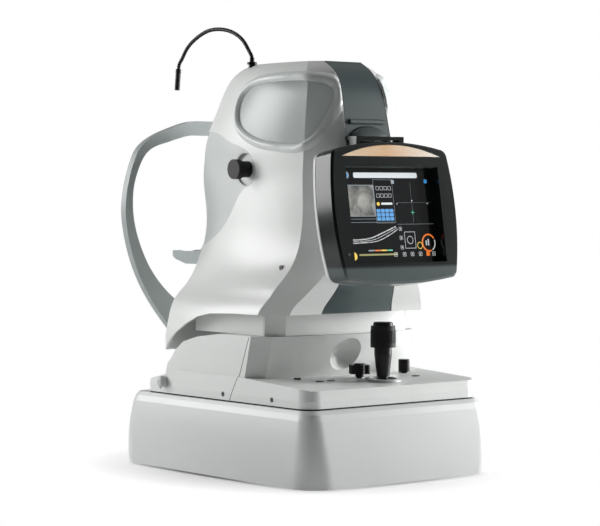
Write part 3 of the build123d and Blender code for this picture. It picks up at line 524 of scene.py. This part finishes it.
def fundus(nt, ln, place):
    """Warm grey picture of the back of an eye, with soft cloud and branching vessels."""
    cloud = nt.new("ShaderNodeTexNoise")
    cloud.inputs["Scale"].default_value = 48.0
    cloud.inputs["Detail"].default_value = 8.0
    ln.new(place, cloud.inputs["Vector"])
    vessels = nt.new("ShaderNodeTexVoronoi")
    vessels.feature = "DISTANCE_TO_EDGE"
    vessels.inputs["Scale"].default_value = 42.0
    warp = nt.new("ShaderNodeVectorMath")
    warp.operation = "MULTIPLY_ADD"
    warp.inputs[1].default_value = (0.02, 0.02, 0.02)
    ln.new(cloud.outputs["Color"], warp.inputs[0])
    ln.new(place, warp.inputs[2])
    ln.new(warp.outputs["Vector"], vessels.inputs["Vector"])
    thin = nt.new("ShaderNodeMapRange")
    thin.inputs["From Max"].default_value = 0.12
    thin.inputs["To Min"].default_value = 0.35
    thin.inputs["To Max"].default_value = 1.0
    ln.new(vessels.outputs["Distance"], thin.inputs["Value"])
    ramp = nt.new("ShaderNodeValToRGB")
    ramp.color_ramp.elements[0].position = 0.34
    ramp.color_ramp.elements[0].color = (0.05, 0.06, 0.06, 1)
    ramp.color_ramp.elements[1].position = 0.7
    ramp.color_ramp.elements[1].color = (0.36, 0.35, 0.32, 1)
    ln.new(cloud.outputs["Fac"], ramp.inputs["Fac"])
    mix = nt.new("ShaderNodeMix")
    mix.data_type = "RGBA"
    mix.blend_type = "MULTIPLY"
    mix.inputs["Factor"].default_value = 0.6
    ln.new(ramp.outputs["Color"], mix.inputs["A"])
    ln.new(thin.outputs["Result"], mix.inputs["B"])
    return mix.outputs["Result"]


def layers(nt, ln, place):
    """Grainy grey band of a cross-section scan."""
    grain = nt.new("ShaderNodeTexNoise")
    grain.inputs["Scale"].default_value = 900.0
    grain.inputs["Detail"].default_value = 4.0
    ln.new(place, grain.inputs["Vector"])
    ramp = nt.new("ShaderNodeValToRGB")
    ramp.color_ramp.elements[0].position = 0.35
    ramp.color_ramp.elements[0].color = (0.03, 0.04, 0.045, 1)
    ramp.color_ramp.elements[1].position = 0.625
    ramp.color_ramp.elements[1].color = (0.75, 0.78, 0.78, 1)
    ln.new(grain.outputs["Fac"], ramp.inputs["Fac"])
    return ramp.outputs["Color"]


eye = Ink(0.0)
eye.bar(-77.8, -26.2, -1.8, 39.4, 0.2)
piece("screen_eye_picture", eye.points, eye.faces, patterned("eye_picture", fundus), "display",
      smooth=False)
scan = Ink(0.0)
scan.line(smooth_path([(-78, -34), (-61.7, -34.6), (-38.4, -32.4), (-16, -25.4), (8.1, -17)]), 1.6)
scan.line(smooth_path([(-78, -39), (-62.5, -39), (-29.5, -37), (-8, -30), (11.4, -21)]), 1.2)
scan.line(smooth_path([(-78, -36.5), (-62, -36.9), (-34, -34.8), (-12, -27.6), (9.8, -19)]), 0.8)
piece("screen_scan", scan.points, scan.faces, patterned("scan_layers", layers), "display",
      smooth=False)


# ---------------------------------------------------------------- label on the bezel
MISSED = 1e9
SAME_SURFACE = 0.003


def laid_on(tree, columns, origin_of, direction, lift, thick):
    """Grid of points cast on to a surface, then given a thickness. Rows are columns of (u, v) pairs."""
    front = []
    back = []
    last = 0.0
    for column in columns:
        starts = [origin_of(u, v) for u, v in column]
        reach = []
        for start in starts:
            hit = tree.ray_cast(start, direction)
            reach.append(hit[3] if hit[0] else MISSED)
        # a ray that slips through a gap takes the depth of its neighbours
        nearest = min(reach)
        if nearest == MISSED:
            nearest = last
        reach = [d if d < nearest + SAME_SURFACE else nearest for d in reach]
        last = nearest
        front.append([p + direction * (d - lift - thick) for p, d in zip(starts, reach)])
        back.append([p + direction * (d - lift) for p, d in zip(starts, reach)])
    points = [p for row in front for p in row] + [p for row in back for p in row]
    return points, plate_faces(len(front), len(front[0]))


def label_look():
    """Printed film that fades from peach in the middle to near white at the ends, with brushed streaks."""
    mat = material("label_film", (0.80, 0.52, 0.30), roughness=0.35, bump=0)
    nt = mat.node_tree
    ln = nt.links
    shader = next(n for n in nt.nodes if n.type == "BSDF_PRINCIPLED")
    coord = next(n for n in nt.nodes if n.type == "TEX_COORD")
    split = nt.nodes.new("ShaderNodeSeparateXYZ")
    ln.new(coord.outputs["Object"], split.inputs["Vector"])
    ramp = nt.nodes.new("ShaderNodeValToRGB")
    scale = nt.nodes.new("ShaderNodeMapRange")
    scale.inputs["From Min"].default_value = -0.09
    scale.inputs["From Max"].default_value = 0.09
    ln.new(split.outputs["X"], scale.inputs["Value"])
    ln.new(scale.outputs["Result"], ramp.inputs["Fac"])
    ramp.color_ramp.elements[0].position = 0.05
    ramp.color_ramp.elements[0].color = (0.86, 0.66, 0.44, 1)
    ramp.color_ramp.elements[1].position = 0.95
    ramp.color_ramp.elements[1].color = (0.93, 0.85, 0.74, 1)
    middle = ramp.color_ramp.elements.new(0.45)
    middle.color = (0.80, 0.50, 0.27, 1)
    streak = nt.nodes.new("ShaderNodeTexNoise")
    streak.inputs["Scale"].default_value = 60.0
    stretch = nt.nodes.new("ShaderNodeMapping")
    stretch.inputs["Scale"].default_value = (1.0, 8.0, 14.0)
    ln.new(coord.outputs["Object"], stretch.inputs["Vector"])
    ln.new(stretch.outputs["Vector"], streak.inputs["Vector"])
    mix = nt.nodes.new("ShaderNodeMix")
    mix.data_type = "RGBA"
    mix.blend_type = "SOFT_LIGHT"
    mix.inputs["Factor"].default_value = 0.5
    ln.new(ramp.outputs["Color"], mix.inputs["A"])
    ln.new(streak.outputs["Fac"], mix.inputs["B"])
    ln.new(mix.outputs["Result"], shader.inputs["Base Color"])
    return mat


def before_bezel(u, v):
    """Start of a ray, 30 mm in front of the bezel's middle plane."""
    return DISPLAY @ Vector((u / 1000, -0.03, v / 1000))


bezel_tree = tree_of("display_bezel")
toward_back = (DISPLAY.to_3x3() @ Vector((0, 1, 0))).normalized()
HALF_CHORD = 88.0
CHORD_Z = 77.5
RISE = 15.9
ARC_R = (HALF_CHORD ** 2 + RISE ** 2) / (2 * RISE)
columns = []
for i in range(81):
    x = -HALF_CHORD + 2 * HALF_CHORD * i / 80
    top = CHORD_Z + max(0.25, math.sqrt(ARC_R ** 2 - x * x) - (ARC_R - RISE))
    columns.append([(x, CHORD_Z + (top - CHORD_Z) * k / 10) for k in range(11)])
points, faces = laid_on(bezel_tree, columns, before_bezel, toward_back, 0.00003, 0.00022)
piece("bezel_label", points, faces, label_look(), "display")

# small light sensor window, low on the left of the bezel
columns = [[(-93.0 + 2.4 * math.cos(a) * k / 4, -56.0 + 2.4 * math.sin(a) * k / 4) for k in (0.2, 1, 2, 3, 4)]
           for a in [i * math.tau / 20 for i in range(21)]]
points, faces = laid_on(bezel_tree, columns, before_bezel, toward_back, 0.00003, 0.0003)
piece("bezel_sensor", points, faces, BLACK, "display")


# ---------------------------------------------------------------- light rear shell of the display
def outline_at(depth, angle):
    """Outer edge of the bezel at that depth, seen from its middle, in millimetres."""
    start = DISPLAY @ Vector((0.25 * math.cos(angle), depth / 1000, 0.25 * math.sin(angle)))
    centre = DISPLAY @ Vector((0, depth / 1000, 0))
    hit = bezel_tree.ray_cast(start, (centre - start).normalized())
    local = DISPLAY.inverted() @ hit[0]
    return Vector((local.x * 1000, local.z * 1000))


edge = []
for i in range(241):
    a = math.radians(90) + math.tau * i / 240
    p = outline_at(30.0, a)
    if p.y > 40 and abs(p.x) < 52:
        continue
    edge.append(p)
section = [
    (34.2, 0.5), (38.0, 0.7), (41.5, 1.6), (44.0, 3.6), (45.2, 7.0), (43.8, 8.4), (40.0, 5.2), (35.4, 3.4)]
points = []
for p in edge:
    inward = -p.normalized()
    for depth, inset in section:
        q = p + inward * inset
        points.append(DISPLAY @ Vector((q.x / 1000, depth / 1000, q.y / 1000)))
faces = swept_faces(len(edge), len(section)) + end_caps(len(edge), len(section))
piece("display_rear_shell", points, faces, WHITE, "display")


# ---------------------------------------------------------------- rim round the side panels of the head
# outline of the panel in side view, y and z in millimetres
PANEL = [
    (46, 512), (38, 536), (10, 550), (-46, 554), (-100, 552), (-122, 538),
    (-124, 510), (-112, 474), (-92, 459), (-46, 461), (2, 470), (36, 488)]


def closed_path(points, count=10):
    """Smooth closed curve through the points."""
    out = []
    n = len(points)
    for i in range(n):
        a, b, c, d = (points[(i + k - 1) % n] for k in range(4))
        for k in range(count):
            t = k / count
            out.append(tuple(
                0.5 * (2 * b[j] + (c[j] - a[j]) * t + (2 * a[j] - 5 * b[j] + 4 * c[j] - d[j]) * t * t
                       + (3 * b[j] - a[j] - 3 * c[j] + d[j]) * t ** 3) for j in range(2)))
    return out


# a ray that misses is tried again a little aside, then nearer the panel's edge
TRIES = ((1, 0), (1, 0.7), (1, -0.7), (0.8, 0), (0.6, 0), (0.4, 0), (0.2, 0), (0, 0), (0, 0.8), (0, -0.8))


def panel_rim(name, side):
    """Low rounded bead that frames the panel."""
    word = "left" if side < 0 else "right"
    tree = tree_of("head_shell_" + word, "side_panel_" + word)
    path = closed_path(PANEL)
    n = len(path)
    profile = [
        (-4.4, -0.6), (-3.8, 1.0), (-2.2, 2.6), (0.2, 3.3), (3.2, 3.0), (6.2, 1.8), (8.6, 0.4), (9.4, -0.6)]
    points = []
    for i in range(n):
        y, z = path[i]
        ya, za = path[i - 1]
        yb, zb = path[(i + 1) % n]
        length = math.hypot(yb - ya, zb - za)
        ny = (zb - za) / length
        nz = -(yb - ya) / length
        for across, height in profile:
            hit = (None,)
            for share, nudge in TRIES:
                reach = across * share + nudge
                start = Vector((side * 0.3, (y + ny * reach) / 1000 + BASE_Y, (z + nz * reach) / 1000))
                hit = tree.ray_cast(start, Vector((-side, 0, 0)))
                if hit[0] and hit[3] < 0.28:
                    break
            normal = hit[1] if hit[1].x * side > 0 else -hit[1]
            points.append(hit[0] + normal * height / 1000)
    piece(name, points, swept_faces(n, len(profile), closed=True), RIM, "head")


panel_rim("panel_rim_left", -1)
panel_rim("panel_rim_right", 1)


# ---------------------------------------------------------------- hood over the display hinge
strip_tree = tree_of("spine_cover")


def strip_front(x, z):
    """Front of the dark strip at x and z, in metres."""
    for aside in (0.0, 0.014, -0.014, 0.022, -0.022, 0.028, -0.028):
        hit = strip_tree.ray_cast(Vector((x + aside, -0.4, z)), Vector((0, 1, 0)))
        if hit[0] and hit[3] < 0.32:
            return hit[0].y
    return -0.1405 + BASE_Y


points = []
columns = 40
rows = 14
for i in range(columns + 1):
    x = -31.5 + 63 * i / columns
    top = 468.0 + 19.0 * math.sqrt(max(0.0, 1 - (x / 34) ** 2))
    for k in range(rows + 1):
        s = k / rows
        z = 467.0 + (top - 467.0) * s
        swell = 8.5 * math.sqrt(max(0.0, 1 - s ** 2.4)) * math.sqrt(max(0.05, 1 - (x / 36) ** 4))
        points.append(Vector((x / 1000, strip_front(x / 1000, z / 1000) - swell / 1000 - 0.0002, z / 1000)))
half = len(points)
points += [Vector((p.x, strip_front(p.x, p.z) + 0.0008, p.z)) for p in points[:half]]
piece("hinge_hood", points, plate_faces(columns + 1, rows + 1), STRIP, "head")

ledge = [(0.8, 489.5), (-2.6, 489.8), (-3.6, 491.0), (-3.6, 494.6), (-2.4, 496.0), (0.8, 496.4)]
points = []
for i in range(25):
    x = -31.0 + 62 * i / 24
    for depth, z in ledge:
        points.append(Vector((x / 1000, strip_front(x / 1000, z / 1000) + depth / 1000, z / 1000)))
faces = swept_faces(25, len(ledge)) + end_caps(25, len(ledge))
piece("strip_ledge", points, faces, STRIP, "head", smooth=False)


# ---------------------------------------------------------------- painted shade: dark ring in the gap under the carriage covers, standing in for the shadow there
cover_tree = tree_of("deck_cover", "side_cover_left", "side_cover_right")
LOW = 0.1095
ring = []
for i in range(240):
    a = math.tau * i / 240
    start = Vector((0.5 * math.cos(a), BASE_Y + 0.5 * math.sin(a), LOW))
    hit = cover_tree.ray_cast(start, (Vector((0, BASE_Y, LOW)) - start).normalized())
    if hit[0]:
        ring.append(hit[0])
base_tree = tree_of("base_shell")
top_hit = base_tree.ray_cast(Vector((0.150, -0.1 + BASE_Y, 0.3)), Vector((0, 0, -1)))
GAP_SHADE_FOOT = top_hit[0].z + 0.0004
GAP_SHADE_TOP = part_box("deck_cover")[0].z + 0.0007
points = []
for p in ring:
    inward = (Vector((0, BASE_Y, p.z)) - p).normalized()
    for inset, z in ((-0.25, GAP_SHADE_TOP), (-0.25, GAP_SHADE_FOOT), (2.6, GAP_SHADE_FOOT), (2.6, GAP_SHADE_TOP)):
        q = p + inward * inset / 1000
        points.append(Vector((q.x, q.y, z)))
faces = swept_faces(len(ring), 4, closed=True)
piece("carriage_gap_shade", points, faces, RUBBER_AND_GAP_SHADE, "carriage", smooth=False)


# ---------------------------------------------------------------- painted shade: dark lines in the seams between the covers, standing in for the shadow in the gaps
SEAM_PATH = [(-27.4, 108.2), (-42, 139), (-61, 198)]


def seam_y(z):
    """Where the seam between the front and side covers lies at height z, in millimetres."""
    for (ya, za), (yb, zb) in zip(SEAM_PATH, SEAM_PATH[1:]):
        if z <= zb:
            return ya + (yb - ya) * (z - za) / (zb - za)
    return SEAM_PATH[-1][0]


for name, side in (("seam_shade_left", -1), ("seam_shade_right", 1)):
    columns = []
    for i in range(60):
        z = 108.4 + (196.6 - 108.4) * i / 59
        columns.append([(seam_y(z) + across, z) for across in (-0.42, 0.0, 0.55, 0.8)])
    points, faces = laid_on(
        cover_tree, columns, lambda u, v: Vector((side * 0.3, u / 1000 + BASE_Y, v / 1000)),
        Vector((-side, 0, 0)), -0.0009, 0.00095)
    piece(name, points, faces, RUBBER_AND_GAP_SHADE, "carriage", smooth=False)

# painted shade: dark lines beside the dark strip, standing in for the shadow in the gaps between it and the
# head shells
head_tree = tree_of("head_shell_left", "head_shell_right", "spine_cover")
for name, side in (("strip_seam_left", -1), ("strip_seam_right", 1)):
    columns = []
    for i in range(92):
        z = 0.188 + (0.556 - 0.188) * i / 91
        inner = 0.026
        outer = 0.062
        for turn in range(16):
            middle = (inner + outer) / 2
            hit = strip_tree.ray_cast(Vector((side * middle, -0.4, z)), Vector((0, 1, 0)))
            if hit[0] and hit[3] < 0.34:
                inner = middle
            else:
                outer = middle
        columns.append([(side * (inner + across), z) for across in (-0.0005, 0.0, 0.0005, 0.0009)])
    points, faces = laid_on(
        head_tree, columns, lambda u, v: Vector((u, -0.4, v)), Vector((0, 1, 0)), -0.0009, 0.00095)
    piece(name, points, faces, RUBBER_AND_GAP_SHADE, "head", smooth=False)


# ---------------------------------------------------------------- forehead pad
low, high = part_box("forehead_pad")
centre = (low + high) / 2
half_x = (high.x - low.x) / 2
half_y = (high.y - low.y) / 2
half_z = (high.z - low.z) / 2
points = []
around = 48
along = 40
for i in range(along + 1):
    s = -1 + 2 * i / along
    taper = (1 - abs(s) ** 5) ** 0.4 if abs(s) < 1 else 0.0
    for k in range(around):
        a = k * math.tau / around
        cy = math.copysign(abs(math.cos(a)) ** 0.55, math.cos(a))
        cz = math.copysign(abs(math.sin(a)) ** 0.55, math.sin(a))
        dimple = 1 - 0.10 * math.exp(-(s * 2.2) ** 2) * max(0, cy)
        y = centre.y + half_y * cy * taper * dimple
        z = centre.z + half_z * cz * taper
        points.append(Vector((centre.x + half_x * s, y, z)))
pad = piece("forehead_cushion", points, swept_faces(along + 1, around), PAD, "base")
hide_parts("forehead_pad")


# ---------------------------------------------------------------- ribs of the bending lamp arm
# middle line of the arm in side view, y and z in millimetres
GOOSE = [
    (58, 588), (64, 597), (76, 611), (92, 622), (112, 629.5), (138, 633.5),
    (160, 633), (181, 628), (202, 619), (220, 606), (232, 592), (239, 578)]
RIB = ((-1.0, 2.2), (-0.55, 2.75), (0.0, 2.95), (0.55, 2.75), (1.0, 2.2))
RIB_SIDES = 16
arm_tree = tree_of("gooseneck")
line = [Vector((-0.050, y / 1000 + BASE_Y, z / 1000)) for y, z in smooth_path(GOOSE, 40)]
spots = [line[0]]
for p in line:
    if (p - spots[-1]).length > 0.0032:
        spots.append(p)
points = []
faces = []
for i in range(1, len(spots) - 1):
    tangent = (spots[i + 1] - spots[i - 1]).normalized()
    side = Vector((1, 0, 0))
    up = tangent.cross(side).normalized()
    middle = spots[i].copy()
    for axis in (side, up):
        ahead = arm_tree.ray_cast(middle, axis)
        behind = arm_tree.ray_cast(middle, -axis)
        if ahead[0] and behind[0] and ahead[3] < 0.006 and behind[3] < 0.006:
            middle = (ahead[0] + behind[0]) / 2
    start = len(points)
    for k in range(RIB_SIDES):
        a = k * math.tau / RIB_SIDES
        ray = side * math.cos(a) + up * math.sin(a)
        for ahead_mm, out_mm in RIB:
            points.append(middle + tangent * ahead_mm / 1000 + ray * out_mm / 1000)
    faces += swept_faces(RIB_SIDES, len(RIB), closed=True, first=start)
piece("arm_ribs", points, faces, BLACK, "lamp")

# ---------------------------------------------------------------- floor
floor_mesh = bpy.data.meshes.new("floor")
floor_mesh.from_pydata([(-30, -30, 0), (30, -30, 0), (30, 30, 0), (-30, 30, 0)], [], [(0, 1, 2, 3)])
floor = bpy.data.objects.new("floor", floor_mesh)
bpy.context.scene.collection.objects.link(floor)
floor_look = material("floor_pale", (0.93, 0.93, 0.93), roughness=0.9, mottle=0.005, bump=0)
floor_mesh.materials.append(floor_look)
nt = floor_look.node_tree
ln = nt.links
surface = next(n for n in nt.nodes if n.type == "BSDF_PRINCIPLED")
out = next(n for n in nt.nodes if n.type == "OUTPUT_MATERIAL")
coord = next(n for n in nt.nodes if n.type == "TEX_COORD")
# pure white away from the object, so that no horizon shows
flatten = nt.nodes.new("ShaderNodeVectorMath")
flatten.operation = "MULTIPLY"
flatten.inputs[1].default_value = (1.0, 0.82, 0.0)
reach = nt.nodes.new("ShaderNodeVectorMath")
reach.operation = "LENGTH"
fade = nt.nodes.new("ShaderNodeMapRange")
fade.inputs["From Min"].default_value = 0.15
fade.inputs["From Max"].default_value = 0.275
seen = nt.nodes.new("ShaderNodeLightPath")
both = nt.nodes.new("ShaderNodeMath")
both.operation = "MULTIPLY"
glow = nt.nodes.new("ShaderNodeEmission")
glow.inputs["Strength"].default_value = 1.0
mix = nt.nodes.new("ShaderNodeMixShader")
ln.new(coord.outputs["Object"], flatten.inputs[0])
ln.new(flatten.outputs["Vector"], reach.inputs[0])
ln.new(reach.outputs["Value"], fade.inputs["Value"])
ln.new(fade.outputs["Result"], both.inputs[0])
ln.new(seen.outputs["Is Camera Ray"], both.inputs[1])
ln.new(both.outputs["Value"], mix.inputs["Fac"])
ln.new(surface.outputs["BSDF"], mix.inputs[1])
ln.new(glow.outputs["Emission"], mix.inputs[2])
ln.new(mix.outputs["Shader"], out.inputs["Surface"])
